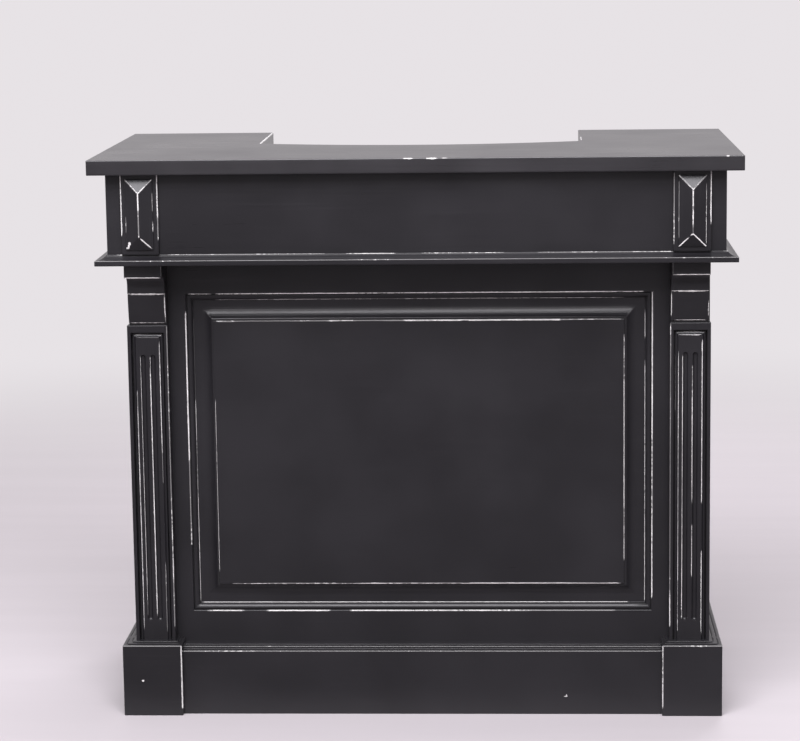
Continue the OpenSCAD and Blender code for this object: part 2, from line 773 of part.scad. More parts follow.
// A cylinder on the hinge's axis, centred on the height z
module barrel(r, z, h) translate([0, 0, z - h / 2]) cylinder(r = r, h = h);

module leaf(x0, x1, h) {
    face = back_y - hinge_y;
    translate([x0, face, -h / 2]) cube([x1 - x0, leaf_t, h]);
}

// The fixed halves of the hinges: leaves on the sides' back edges, outer knuckles and pins
module hinge_posts() color(metal) on_both_sides() at_hinges() {
    difference() {
        union() {
            leaf(0, leaf_w, hinge_l);
            for (k = [-1, 1]) barrel(knuckle_r, k * (knuckle_l + knuckle_gap), knuckle_l);
        }
        barrel(knuckle_r + knuckle_lift, 0, knuckle_l + 2 * knuckle_gap);
    }
    barrel(hinge_pin_r, 0, hinge_l);
}

// The moving halves: leaves on the door's face, and middle knuckles bored for the pins
module hinge_leaves(s) color(metal) on_side(s) at_hinges() difference() {
    union() {
        leaf(-leaf_w, -front_gap / 2, hinge_l);
        intersection() {
            leaf(-leaf_w, 0, knuckle_l);
            translate([-leaf_w, knuckle_lift + back_y - hinge_y, -hinge_l / 2])
                cube([leaf_w, leaf_t, hinge_l]);
        }
        barrel(knuckle_r, 0, knuckle_l);
    }
    barrel(hinge_pin_r + hinge_play, 0, hinge_l);
    for (k = [-1, 1])
        barrel(knuckle_r + knuckle_lift, k * (knuckle_l + 1.5 * knuckle_gap), knuckle_l + knuckle_gap);
}

countertop();
frieze_front();
frieze_sides();
plaques();
pyramid_blocks();
belt_front();
belt_sides();
soffit();
corbel(left);  // corbel_left
corbel(right);  // corbel_right
pilaster(left);  // pilaster_left
pilaster(right);  // pilaster_right
fluted_panel(left);  // fluted_panel_left
fluted_panel(right);  // fluted_panel_right
stile(left);  // stile_left
stile(right);  // stile_right
rail_top();
rail_bottom();
panel_moulding();
raised_panel();
plinth_board();
plinth_blocks();
plinth_sides();
side(left);  // side_left
side(right);  // side_right
partition(left);  // partition_left
partition(right);  // partition_right
wing_floors();
dividers();
kick_boards();
bay_shelf(floor_top);  // bay_floor
bay_shelf(floor_top + bar_shelf_lower);  // bar_shelf_low
bay_shelf(floor_top + bar_shelf_upper);  // bar_shelf_high
shelf_cleats();
gallery_rails();
top_cleat();
cupboard_shelves();
shelf_pins();
door_catches();
drawer_stops();
hinge_posts();
drawer_box(left);  // drawer_box_left
drawer_bottom(left);  // drawer_bottom_left
drawer_front(left);  // drawer_front_left
drawer_knob(left);  // drawer_knob_left
drawer_box(right);  // drawer_box_right
drawer_bottom(right);  // drawer_bottom_right
drawer_front(right);  // drawer_front_right
drawer_knob(right);  // drawer_knob_right
door_stiles(left);  // door_stiles_left
door_rails(left);  // door_rails_left
door_panel(left);  // door_panel_left
door_knob(left);  // door_knob_left
hinge_leaves(left);  // hinge_leaves_left
door_stiles(right);  // door_stiles_right
door_rails(right);  // door_rails_right
door_panel(right);  // door_panel_right
door_knob(right);  // door_knob_right
hinge_leaves(right);  // hinge_leaves_right
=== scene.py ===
"""Bar counter cabinet: finishes, fittings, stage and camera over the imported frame."""

import json
import math

import bmesh
import bpy
from bpy.props import FloatProperty, FloatVectorProperty, IntProperty, PointerProperty
from mathutils import Matrix, Vector
from mathutils.bvhtree import BVHTree


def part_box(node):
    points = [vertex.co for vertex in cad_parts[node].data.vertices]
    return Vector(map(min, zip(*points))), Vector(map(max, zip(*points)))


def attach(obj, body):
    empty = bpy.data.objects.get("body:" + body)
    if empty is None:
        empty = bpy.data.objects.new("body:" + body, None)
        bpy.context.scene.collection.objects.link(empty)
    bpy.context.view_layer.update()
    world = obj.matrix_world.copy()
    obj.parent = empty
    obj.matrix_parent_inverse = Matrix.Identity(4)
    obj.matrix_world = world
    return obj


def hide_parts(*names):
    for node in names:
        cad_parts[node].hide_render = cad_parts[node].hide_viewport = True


bl_info = {
    "name": "Bar counter cabinet",
    "version": (1, 0, 0),
    "blender": (4, 5, 0),
    "location": "3D View > Sidebar > Counter",
    "description": "Dresses the counter's boards, mouldings, drawers, doors and fittings, and sets its stage",
    "category": "Object",
}

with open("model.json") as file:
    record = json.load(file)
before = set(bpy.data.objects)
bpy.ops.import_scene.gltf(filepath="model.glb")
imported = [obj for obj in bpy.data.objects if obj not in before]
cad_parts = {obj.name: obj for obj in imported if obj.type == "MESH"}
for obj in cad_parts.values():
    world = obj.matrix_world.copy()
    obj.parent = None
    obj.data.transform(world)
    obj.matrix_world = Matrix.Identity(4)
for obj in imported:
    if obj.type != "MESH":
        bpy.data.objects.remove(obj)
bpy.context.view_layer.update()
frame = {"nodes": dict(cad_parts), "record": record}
RECORD = frame["record"]
BODY_OF = {node: body for body, nodes in RECORD["behaviour"]["bodies"].items() for node in nodes}
MM = 0.001


# Sizes and colours that a user would change

class CounterPaint(bpy.types.PropertyGroup):
    """The paint and its wear"""
    black: FloatVectorProperty(name="Paint", description="Colour of the satin black paint", subtype="COLOR",
                               default=(0.0152, 0.0143, 0.0168), min=0, max=1)
    top: FloatVectorProperty(name="Top paint", description="Colour of the countertop's paint",
                             subtype="COLOR", default=(0.0176, 0.0163, 0.0192), min=0, max=1)
    inside: FloatVectorProperty(name="Inside paint", description="Colour of the paint inside",
                                subtype="COLOR", default=(0.0128, 0.0121, 0.0142), min=0, max=1)
    undercoat: FloatVectorProperty(name="Undercoat", description="Colour where the paint is rubbed through",
                                   subtype="COLOR", default=(0.8, 0.78, 0.77), min=0, max=1)
    sheen: FloatProperty(name="Roughness", description="Roughness of the paint", subtype="FACTOR",
                         default=0.32, min=0.05, max=1)
    top_sheen: FloatProperty(name="Top roughness", description="Roughness of the countertop's paint",
                             subtype="FACTOR", default=0.3, min=0.05, max=1)
    wear: FloatProperty(name="Wear", description="How much of the arrises is rubbed through",
                        subtype="FACTOR", default=1.0, min=0, max=1.5)
    arris: FloatProperty(name="Arris", description="Width that is eased off the boards' arrises",
                         subtype="DISTANCE", unit="LENGTH", default=1.7 * MM, min=0, max=4 * MM)


class CounterTop(bpy.types.PropertyGroup):
    """The countertop's bay"""
    bay_w: FloatProperty(name="Bay width", description="Distance between the wings", subtype="DISTANCE",
                         unit="LENGTH", default=0.652, min=0.5, max=0.8)
    bay_y: FloatProperty(name="Bay depth", description="Where the arc meets the wings, back from the middle",
                         subtype="DISTANCE", unit="LENGTH", default=0.037, min=0, max=0.1)
    bay_rise: FloatProperty(name="Bay rise", description="How far the arc reaches in front of its ends",
                            subtype="DISTANCE", unit="LENGTH", default=0.057, min=0.02, max=0.1)
    bay_steps: IntProperty(name="Bay steps", description="Straight lengths that make the arc", default=48,
                           min=12, max=96)


class CounterWood(bpy.types.PropertyGroup):
    """The drawers' bare wood"""
    light: FloatVectorProperty(name="Early wood", description="Colour of the wood between its rings",
                               subtype="COLOR", default=(0.6, 0.42, 0.23), min=0, max=1)
    dark: FloatVectorProperty(name="Late wood", description="Colour of the wood's rings", subtype="COLOR",
                              default=(0.4, 0.24, 0.11), min=0, max=1)


class CounterMetal(bpy.types.PropertyGroup):
    """Knobs, hinges, pins and catches"""
    brass: FloatVectorProperty(name="Brass", description="Colour of the rubbed brass", subtype="COLOR",
                               default=(0.52, 0.36, 0.15), min=0, max=1)
    tarnish: FloatVectorProperty(name="Tarnish", description="Colour of the aged brass", subtype="COLOR",
                                 default=(0.16, 0.1, 0.045), min=0, max=1)
    steel: FloatVectorProperty(name="Steel", description="Colour of the catches", subtype="COLOR",
                               default=(0.5, 0.5, 0.51), min=0, max=1)
    screw_r: FloatProperty(name="Screw head", description="Radius of a screw's head", subtype="DISTANCE",
                           unit="LENGTH", default=2.7 * MM, min=1 * MM, max=5 * MM)
    screw_pitch: FloatProperty(name="Screw pitch", description="Distance between a leaf's screws",
                               subtype="DISTANCE", unit="LENGTH", default=20 * MM, min=10 * MM, max=30 * MM)
    screws: IntProperty(name="Screws", description="Screws in each hinge leaf", default=3, min=2, max=4)


class CounterStage(bpy.types.PropertyGroup):
    """Floor, backdrop, lamps and camera"""
    floor: FloatVectorProperty(name="Floor", description="Colour of the floor", subtype="COLOR",
                               default=(0.6, 0.555, 0.578), min=0, max=1)
    backdrop: FloatVectorProperty(name="Backdrop", description="Colour that is seen behind the counter",
                                  subtype="COLOR", default=(0.8, 0.765, 0.79), min=0, max=1)
    fill: FloatProperty(name="Fill", description="Light from all round", default=0.4, min=0, max=3)
    key: FloatProperty(name="Key", description="Power of the large lamp above and in front", unit="POWER",
                       default=230, min=0, max=2000)
    lamp: FloatVectorProperty(name="Lamp", description="Colour of the lamps", subtype="COLOR",
                              default=(0.965, 0.955, 1.0), min=0, max=1)
    focal: FloatProperty(name="Focal length", description="Focal length for a 36 mm sensor", unit="CAMERA",
                         default=108.18, min=20, max=300)
    camera: FloatVectorProperty(name="Camera", description="Place of the camera", subtype="TRANSLATION",
                                unit="LENGTH", default=(0.1981, -4.8309, 1.5501))
    turn: FloatVectorProperty(name="Turn", description="The camera's yaw, pitch and roll", subtype="EULER",
                              unit="ROTATION", default=[math.radians(a) for a in (-2.385, 8.588, -0.706)])
    shift: FloatVectorProperty(name="Shift", description="The lens shift across and up", size=2,
                               default=(-0.025, -0.1006))


# Node trees

AXES = {"x": 0, "y": 1, "z": 2}
LIGHT_PATH = {"camera": 0, "glossy": 3, "transmission": 6}


class Value:
    """A node's socket, which adds Math nodes as it is calculated with."""

    def __init__(self, tree, socket):
        self.tree, self.socket = tree, socket

    def maths(self, operation, *values):
        return self.tree.add("ShaderNodeMath", {"operation": operation}, *values)

    def __add__(self, other):
        return self.maths("ADD", self, other)

    def __sub__(self, other):
        return self.maths("SUBTRACT", self, other)

    def __rsub__(self, other):
        return self.maths("SUBTRACT", other, self)

    def __mul__(self, other):
        return self.maths("MULTIPLY", self, other)

    def most(self, other):
        return self.maths("MAXIMUM", self, other)

    def step(self, low, high):
        """0 below low, 1 above high, and a smooth rise between them"""
        smooth = {"interpolation_type": "SMOOTHSTEP"}
        return self.tree.add("ShaderNodeMapRange", smooth, self, low, high, 0.0, 1.0)

    __radd__, __rmul__ = __add__, __mul__


class Tree:
    """A node tree that is written as calls."""

    def __init__(self, nodes):
        self.nodes = nodes
        nodes.nodes.clear()

    def add(self, kind, settings=None, *values, out=0, **named):
        """Adds a node: its settings first, then its sockets' values or links, by order, by name or, as s6, by
        number"""
        node = self.nodes.nodes.new(kind)
        for key, value in (settings or {}).items():
            setattr(node, key, value)
        sockets = [(node.inputs[i], v) for i, v in enumerate(values)]
        sockets += [(node.inputs[int(k[1:]) if k[1:].isdigit() else k.replace("_", " ")], v)
                    for k, v in named.items()]
        for socket, value in sockets:
            if isinstance(value, Value):
                self.nodes.links.new(value.socket, socket)
            elif value is not None:
                socket.default_value = value
        return Value(self, node.outputs[out]) if node.outputs else node

    def blend(self, mask, a, b):
        """Colour a where the mask is 0 and b where it is 1"""
        return self.add("ShaderNodeMix", {"data_type": "RGBA"}, mask, out=2, s6=colour4(a), s7=colour4(b))

    def place(self, stretch=(1, 1, 1), move=(0, 0, 0)):
        """The piece's own coordinates, moved and stretched"""
        spot = self.add("ShaderNodeTexCoord", out=3)
        return self.add("ShaderNodeMapping", None, spot, move, (0, 0, 0), stretch)

    def noise(self, place, scale, detail=2.0, rough=0.5, warp=0.0):
        """Noise with about so many waves a metre"""
        return self.add("ShaderNodeTexNoise", None, Vector=place, Scale=scale, Detail=detail, Roughness=rough,
                        Distortion=warp)

    def length(self, vector):
        return self.add("ShaderNodeVectorMath", {"operation": "LENGTH"}, vector, out=1)

    def part(self, vector, axis):
        """A vector's part along one axis"""
        return self.add("ShaderNodeSeparateXYZ", None, vector, out=AXES[axis])

    def ray(self, kind):
        """1 for rays of this kind and 0 for others"""
        return self.add("ShaderNodeLightPath", out=LIGHT_PATH[kind])

    def mark(self, place, centre, radii, ragged):
        """A ragged mark, 1 inside: its centre and radii in millimetres, and the noise that frays it"""
        off = self.add("ShaderNodeVectorMath", {"operation": "SUBTRACT"}, place, [c * MM for c in centre])
        off = self.add("ShaderNodeVectorMath", {"operation": "DIVIDE"}, off, [r * MM for r in radii])
        return 1 - (self.length(off) + ragged * 1.6 - 0.8).step(0.85, 1.0)

    def bump(self, height, depth, strength):
        """Normals for a surface of this height, whose full depth is in millimetres"""
        return self.add("ShaderNodeBump", None, Strength=strength, Distance=depth * MM, Height=height)


def colour4(value):
    """A colour with its alpha, or a link as it is"""
    return value if isinstance(value, Value) else (*value, 1.0)


def new_material(name):
    """A material and its emptied tree"""
    material = bpy.data.materials.new(name)
    material.use_nodes = True
    return material, Tree(material.node_tree)


def finish_surface(tree, **sockets):
    """Ends a material's tree in a shader with these sockets"""
    shader = tree.add("ShaderNodeBsdfPrincipled", None, **sockets)
    tree.add("ShaderNodeOutputMaterial", None, shader)


def stretched(along, low, high):
    """Scales that are low along one axis and high across it"""
    return tuple(low if i == AXES[along] else high for i in range(3))


# Small chips, in millimetres: the middle and the radii of each
MARKS = {
    "top_paint": [((-10.5, -300, 1117.4), (10.5, 3, 1.5)), ((34.8, -300, 1117.2), (10.5, 3, 1.8)),
                  ((58.8, -300, 1117.6), (6, 2, 0.9)), ((592.7, -300, 1117.2), (3, 3, 1.4))],
    "chipped_paint": [((-555, -238, 72), (2.6, 4, 2.2)), ((285.5, -226, 36.7), (4.5, 4, 1.2)),
                      ((287.5, -226, 38.5), (1.2, 4, 2.8)), ((-547.8, -275, 956.2), (2.6, 20, 3.6)),
                      ((-549.4, -275, 951.5), (2.2, 20, 3.6)), ((-552, -275, 946.8), (3, 20, 2)),
                      ((-528.5, -223, 848.7), (37.5, 12, 1.7)), ((528.5, -223, 848.7), (37, 12, 1.7)),
                      ((-448, -182, 243.5), (1.8, 4, 2.6))],
}


def paint(name, along):
    """Satin paint brushed along a board, over an undercoat that shows where its arrises are rubbed, with
    painted shade in narrow hollows and a grey film on arrises that is partly a painted highlight
    """
    settings = bpy.context.scene.counter_paint
    on_top, inside = name == "top_paint", name == "inside_paint"
    black = settings.top if on_top else settings.inside if inside else settings.black
    material, tree = new_material("%s_%s" % (name, along))
    place = tree.place()
    broad = tree.noise(place, 5.0, 3.0)
    brushed = tree.noise(tree.place(stretched(along, 4.0, 190.0)), 1.0, 4.0, 0.6)
    grain = tree.noise(tree.place(stretched(along, 1.6, 34.0)), 1.0, 5.0, 0.62, 0.6)
    peel = tree.noise(place, 620.0, 2.0)
    specks = tree.noise(place, 380.0, 1.0).step(0.735, 0.76)

    # An arris at level 1 is bare all along, at 0.6 over half of its length and at 0.35 over a tenth. From 0.3
    # up it also has a thin grey film, partly rubbed paint and partly a painted highlight, and below 0, in a
    # hollow corner, it is darkened with painted shade.
    arris = tree.add("ShaderNodeAttribute", {"attribute_type": "GEOMETRY", "attribute_name": "arris"}, out=2)
    long = tree.noise(tree.place(move=(0.31, 0.12, 0.57)), 6.5, 1.0)
    beads = tree.noise(place, 170.0, 2.0, 0.6)
    worn = (long * 0.5 + beads * 0.5 - (0.78 - 0.46 * settings.wear * arris)).step(-0.01, 0.02)
    for centre, radii in MARKS.get(name, ()):
        worn = worn.most(tree.mark(place, centre, radii, beads))
    # The grey film is partly thinly rubbed paint and partly a painted highlight along the arrises
    film_and_sheen = arris.step(0.24, 0.36) * 0.25
    hollow_shade = (0 - arris).step(0.1, 0.9)
    dirty = tree.noise(place, 60.0, 3.0)

    tint = tree.blend(broad.step(0.3, 0.7), [c * 0.86 for c in black], [c * 1.14 for c in black])
    tint = tree.blend(brushed.step(0.55, 0.75) * 0.25, tint, [c * 1.5 for c in black])
    tint = tree.blend(specks * 0.35, tint, [c * 2.4 for c in black])
    # Corners of narrow faces in a hollow are darkened towards near black: painted shade
    tint = tree.blend(hollow_shade * 0.75, tree.blend(film_and_sheen, tint, settings.undercoat), [c * 0.2 for c in black])
    bare = tree.blend(dirty.step(0.35, 0.7), [c * 0.72 for c in settings.undercoat], settings.undercoat)
    colour = tree.blend(worn, tint, bare)
    sheen = (settings.top_sheen if on_top else settings.sheen) + 0.16 * (broad - 0.5) + 0.1 * (brushed - 0.5)
    rough = sheen + (0.72 - sheen) * worn.most(hollow_shade)
    height = 0.35 * peel + 0.5 * brushed + (0.7 if on_top else 1.0) * grain - 1.1 * worn
    finish_surface(tree, Base_Color=colour, Roughness=rough, Normal=tree.bump(height, 0.16, 0.5),
                   Specular_IOR_Level=0.8 if on_top else 0.42)
    return material


def bare_wood(name, along):
    """Oiled softwood with its grain along one axis"""
    settings = bpy.context.scene.counter_wood
    material, tree = new_material("%s_%s" % (name, along))
    rings = tree.noise(tree.place(stretched(along, 1.1, 26.0)), 1.0, 4.0, 0.55, 0.9)
    bands = tree.add("ShaderNodeMath", {"operation": "PINGPONG"}, rings * 9.0, 1.0)
    fibre = tree.noise(tree.place(stretched(along, 14.0, 620.0)), 1.0, 3.0, 0.6)
    broad = tree.noise(tree.place(), 7.0, 2.0)
    tint = tree.blend(bands.step(0.35, 0.95) * 0.75, settings.light, settings.dark)
    tint = tree.blend(fibre.step(0.5, 0.72) * 0.35, tint, [c * 0.7 for c in settings.dark])
    tint = tree.blend(broad.step(0.35, 0.7) * 0.3, tint, [c * 1.15 for c in settings.light])
    normal = tree.bump(fibre * 0.8 - bands * 0.3, 0.2, 0.45)
    finish_surface(tree, Base_Color=tint, Roughness=0.5 + 0.2 * (fibre - 0.5), Normal=normal)
    return material


def brass(name, along):
    """Brass that has darkened in clouds"""
    settings = bpy.context.scene.counter_metal
    material, tree = new_material("%s_%s" % (name, along))
    cloud = tree.noise(tree.place(), 75.0, 4.0, 0.6)
    fine = tree.noise(tree.place(), 900.0, 2.0)
    aged = cloud.step(0.36, 0.62)
    tint = tree.blend(aged, settings.tarnish, settings.brass)
    normal = tree.bump(fine * 0.6 + cloud * 0.8, 0.08, 0.3)
    finish_surface(tree, Base_Color=tint, Metallic=1.0, Roughness=0.5 - 0.2 * aged + 0.1 * (fine - 0.5),
                   Normal=normal)
    return material


def steel(name, along):
    """Satin steel, brushed along one axis"""
    settings = bpy.context.scene.counter_metal
    material, tree = new_material("%s_%s" % (name, along))
    lines = tree.noise(tree.place(stretched(along, 40.0, 1500.0)), 1.0, 3.0)
    cloud = tree.noise(tree.place(), 90.0, 2.0)
    tint = tree.blend(cloud.step(0.3, 0.7), [c * 0.8 for c in settings.steel], settings.steel)
    finish_surface(tree, Base_Color=tint, Metallic=1.0, Roughness=0.32 + 0.14 * (lines - 0.5),
                   Normal=tree.bump(lines, 0.05, 0.3))
    return material


FINISHES = {"top_paint": paint, "worn_paint": paint, "chipped_paint": paint, "inside_paint": paint,
            "bare_wood": bare_wood, "brass": brass, "steel": steel}
materials_made = {}


def material_of(finish, along):
    """A finish whose grain runs along this axis, made once"""
    if (finish, along) not in materials_made:
        materials_made[finish, along] = FINISHES[finish](finish, along)
    return materials_made[finish, along]


# Dressed copies of the CAD nodes

def mesh_tree(node):
    """A node's solid, ready for rays"""
    mesh = frame["nodes"][node].data
    return BVHTree.FromPolygons([v.co for v in mesh.vertices], [p.vertices[:] for p in mesh.polygons])


SURFACES = {node: (mesh_tree(node), *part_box(node)) for node in frame["nodes"]}
SLANT = Vector((0.31, 0.62, 0.72)).normalized()

# Angles between an edge's faces, in degrees: from the first it is eased, from the second it is shaded sharp,
# and past the third it is a hollow whose faces, if narrower than NARROW, are darkened with painted shade
EASED_FROM, SHARP_FROM, HOLLOW_FROM = 26, 47, -40.1
NARROW = 9 * MM


def covered(point, own):
    """Whether another node's solid holds this point: a slanting ray from it leaves that solid's surface once
    more than it enters"""
    for node, (tree, low, high) in SURFACES.items():
        if node != own and all(low[i] <= point[i] <= high[i] for i in range(3)):
            crossings, spot = 0, point
            while (hit := tree.ray_cast(spot, SLANT)[0]) is not None:
                crossings += 1
                spot = hit + SLANT * 1e-6
            if crossings % 2:
                return True
    return False


def strip_width(face):
    """How wide a long face is"""
    return face.calc_area() / max(e.calc_length() for e in face.edges)


def shows(edge, node):
    """Whether most of an edge's length has both of its faces bare, from five spots along it"""
    a, b = (v.co for v in edge.verts)
    bare = 0
    for t in (0.08, 0.3, 0.5, 0.7, 0.92):
        middle = a.lerp(b, t)
        free = True
        for loop in edge.link_loops:
            face = loop.face
            inward = face.normal.cross(loop.link_loop_next.vert.co - loop.vert.co).normalized()
            reach = min(1.0 * MM, 0.3 * strip_width(face))
            free = free and not covered(middle + inward * reach + face.normal * 0.3 * MM, node)
        bare += free
    return bare >= 3


def room_for(edge):
    """How far an edge can be eased before it meets what lies beside it or at its ends"""
    room = 0.4 * min(strip_width(face) for face in edge.link_faces)
    for vert in edge.verts:
        for other in vert.link_edges:
            if other != edge and any(face in other.link_faces for face in edge.link_faces):
                room = min(room, 0.45 * other.calc_length())
    return room


def merged_copy(node):
    """A CAD node's mesh with its loose triangles joined and its flat faces made whole"""
    shape = bmesh.new()
    shape.from_mesh(frame["nodes"][node].data)
    bmesh.ops.remove_doubles(shape, verts=shape.verts, dist=2e-6)
    bmesh.ops.dissolve_limit(shape, angle_limit=0.002, verts=shape.verts, edges=shape.edges)
    shape.normal_update()
    return shape


def cut_across(shape, node):
    """Cuts a node's faces at the sides of what it touches and at the ends of its rubbed stretches"""
    low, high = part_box(node)
    apart = 3 * MM
    places = set()
    for other, (tree, near, far) in SURFACES.items():
        if other != node and all(near[i] < high[i] + MM and far[i] > low[i] - MM for i in range(3)):
            places |= {(i, side[i]) for side in (near, far) for i in range(3)}
    for axis, at, stops in RUBBED.get(node, ()):
        places |= {(AXES[axis], (start + step) * MM) for start, level in stops for step in (-FADE, FADE)}
    for ends in STROKES.get(node, ()):
        places |= {(2, end * MM) for end in (ends[1], ends[3])}
    last = (None, 0.0)
    for i, place in sorted(places):
        if low[i] + apart < place < high[i] - apart and (i != last[0] or place > last[1] + apart):
            last = (i, place)
            spot = Vector(place if k == i else 0.0 for k in range(3))
            way = Vector(float(k == i) for k in range(3))
            bmesh.ops.bisect_plane(shape, geom=shape.verts[:] + shape.edges[:] + shape.faces[:], dist=1e-5,
                                   plane_co=spot, plane_no=way)


def wear_at(node, wear, spot, run):
    """How far an arris that runs this way is rubbed at a spot: its node's own wear, or the level of a rubbed
    line or a stroke there"""
    way = max(range(3), key=lambda i: abs(run[i]))
    slants = abs(run[way]) < 0.98 * run.length
    spot, nearest, level = spot / MM, LINE_REACH, None
    for axis, at, stops in RUBBED.get(node, ()):
        off = abs((spot.z if axis == "x" else spot.x) - at)
        if AXES[axis] == way and off < nearest:
            nearest, level, before = off, 0.0, 0.0
            for start, value in stops:
                level += (value - before) * min(max((spot[way] - start) / (2 * FADE) + 0.5, 0.0), 1.0)
                before = value
    for x0, z0, x1, z1, value in STROKES.get(node, ()):
        line, off = Vector((x1 - x0, z1 - z0)), Vector((spot.x - x0, spot.z - z0))
        along, beside = off.dot(line) / line.length, abs(off.x * line.y - off.y * line.x) / line.length
        if slants and beside < STROKE_REACH and -STROKE_REACH < along < line.length + STROKE_REACH:
            level = max(level or 0.0, value)
    return wear if level is None else level


def mark_wear(shape, node, wear, arris):
    """Cuts a band beside each eased edge, over which its wear fades, and writes how far each corner is
    rubbed, or -1 at a narrow face's hollow edge, for painted shade. Material 1 marks the eased faces."""
    beside = {}
    for face in shape.faces:
        for edge in face.edges if face.material_index else ():
            start, end = (vert.co.copy() for vert in edge.verts)
            for flat in edge.link_faces:
                if not flat.material_index:
                    beside.setdefault(flat, []).append((start, end - start))
    for flat, edges in beside.items():
        width = strip_width(flat)
        if width < 1.5 * MM:
            continue
        normal, middle = flat.normal.copy(), flat.calc_center_median()
        pieces = [flat, *flat.edges, *flat.verts]
        done = []
        for start, run in edges:
            inward = normal.cross(run).normalized()
            if inward.dot(middle - start) < 0:
                inward.negate()
            spot = start + inward * min(1.5 * arris, 0.3 * width)
            again = any(inward.dot(w) > 0.999 and abs(inward.dot(spot - s)) < 1e-5 for s, w in done)
            if run.length > 1e-5 and not again:
                done.append((spot, inward))
                pieces = bmesh.ops.bisect_plane(shape, geom=pieces, dist=1e-6, plane_co=spot,
                                                plane_no=inward)["geom"]
    rubbed = shape.loops.layers.float.new("arris")
    for face in shape.faces:
        if face.material_index:
            longest = max(face.edges, key=lambda e: e.calc_length())
            run = longest.verts[0].co - longest.verts[1].co
            for loop in face.loops:
                loop[rubbed] = wear_at(node, wear, loop.vert.co, run)
            continue
        narrow = strip_width(face) < NARROW
        for loop in face.loops:
            after, edge = loop.link_loop_next, loop.edge
            run = after.vert.co - loop.vert.co
            # Narrow faces at a hollow edge get -1, which the paint turns into painted shade
            hollow = narrow and edge.is_manifold and edge.calc_face_angle_signed() < math.radians(HOLLOW_FROM)
            for corner in (loop, after):
                if any(other.material_index for other in edge.link_faces):
                    corner[rubbed] = max(corner[rubbed], wear_at(node, wear, corner.vert.co, run))
                elif hollow and not corner[rubbed] > 0:
                    corner[rubbed] = -1.0


def evaluated(obj):
    """Turns what an object's modifiers make into its plain mesh"""
    mesh = bpy.data.meshes.new_from_object(obj.evaluated_get(bpy.context.evaluated_depsgraph_get()))
    obj.modifiers.clear()
    obj.data = mesh
    return mesh


def grain_axis(normal, along):
    """A drawer box's boards run across their own faces"""
    return "x" if abs(normal.y) > 0.7 else along


def slab_with_bay():
    """The countertop's outline with its wings and arc, made a slab"""
    settings = bpy.context.scene.counter_top
    low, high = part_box("countertop")
    half, inner, rise = settings.bay_w / 2, settings.bay_y, settings.bay_rise
    radius = (half * half + rise * rise) / (2 * rise)
    sweep = math.asin(half / radius)
    outline = [(low.x, low.y), (high.x, low.y), (high.x, high.y), (half, high.y)]
    for i in range(settings.bay_steps + 1):
        turn = sweep * (1 - 2 * i / settings.bay_steps)
        outline.append((radius * math.sin(turn), inner - rise + radius - radius * math.cos(turn)))
    outline += [(-half, high.y), (low.x, high.y)]
    shape = bmesh.new()
    face = shape.faces.new([shape.verts.new((x, y, low.z)) for x, y in outline])
    top = bmesh.ops.extrude_face_region(shape, geom=[face])["geom"]
    bmesh.ops.translate(shape, verts=[g for g in top if isinstance(g, bmesh.types.BMVert)],
                        vec=(0, 0, high.z - low.z))
    bmesh.ops.recalc_face_normals(shape, faces=shape.faces)
    return shape


def dress(node, finish, along, arris, wear):
    """Builds the finished piece that stands for a CAD node: arrises eased by so much, and worn so far"""
    shape = slab_with_bay() if node == "countertop" else merged_copy(node)
    if arris:
        cut_across(shape, node)
    weight = shape.edges.layers.float.new("bevel_weight_edge")
    eased = False
    for edge in shape.edges:
        sharp = edge.is_manifold and edge.calc_face_angle_signed() > math.radians(EASED_FROM)
        if arris and sharp and shows(edge, node):
            edge[weight] = min(arris, room_for(edge)) / arris
            eased = True
    mesh = bpy.data.meshes.new(node)
    shape.to_mesh(mesh)
    shape.free()
    piece = bpy.data.objects.new("%s_%s" % (finish, node), mesh)
    bpy.context.scene.collection.objects.link(piece)
    main = material_of(finish, along)
    mesh.materials.append(main)
    mesh.materials.append(main)  # the second slot marks the eased faces for mark_wear
    if eased:
        bevel = piece.modifiers.new("arrises", "BEVEL")
        bevel.limit_method, bevel.width, bevel.segments = "WEIGHT", arris, 2
        bevel.use_clamp_overlap, bevel.material, bevel.profile = False, 1, 0.5
        mesh = evaluated(piece)

    shape = bmesh.new()
    shape.from_mesh(mesh)
    if wear:
        shape.normal_update()
        mark_wear(shape, node, wear, arris)
    for face in shape.faces:
        face.smooth = True
        face.material_index = 1 if finish == "bare_wood" and grain_axis(face.normal, along) != along else 0
    for edge in shape.edges:
        edge.smooth = len(edge.link_faces) != 2 or edge.calc_face_angle() < math.radians(SHARP_FROM)
    shape.to_mesh(mesh)
    shape.free()
    if finish == "bare_wood":
        mesh.materials[1] = material_of(finish, "x" if along == "y" else "y")
    else:
        mesh.materials.pop()
    weighted = piece.modifiers.new("normals", "WEIGHTED_NORMAL")
    weighted.keep_sharp = True
    mesh = evaluated(piece)
    mesh.name = piece.name

    # An eased arris can leave the solid's box by a hair, and is held inside it
    low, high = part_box(node)
    furthest = 0.0
    for vertex in mesh.vertices:
        held = Vector(min(max(vertex.co[i], low[i]), high[i]) for i in range(3))
        furthest = max(furthest, (held - vertex.co).length)
        vertex.co = held
    if furthest > 0.05 * MM:
        print("%s was %.2f mm outside its box" % (node, furthest / MM))
    if furthest > 3 * MM:
        raise RuntimeError("%s leaves its node's box" % node)
    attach(piece, BODY_OF[node])
    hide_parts(node)
    return piece


# In millimetres: half the length over which one level of wear turns into the next, and how far the place of a
# rubbed line, and that of a stroke, may be from its arris
FADE, LINE_REACH, STROKE_REACH = 5, 2.6, 2.5

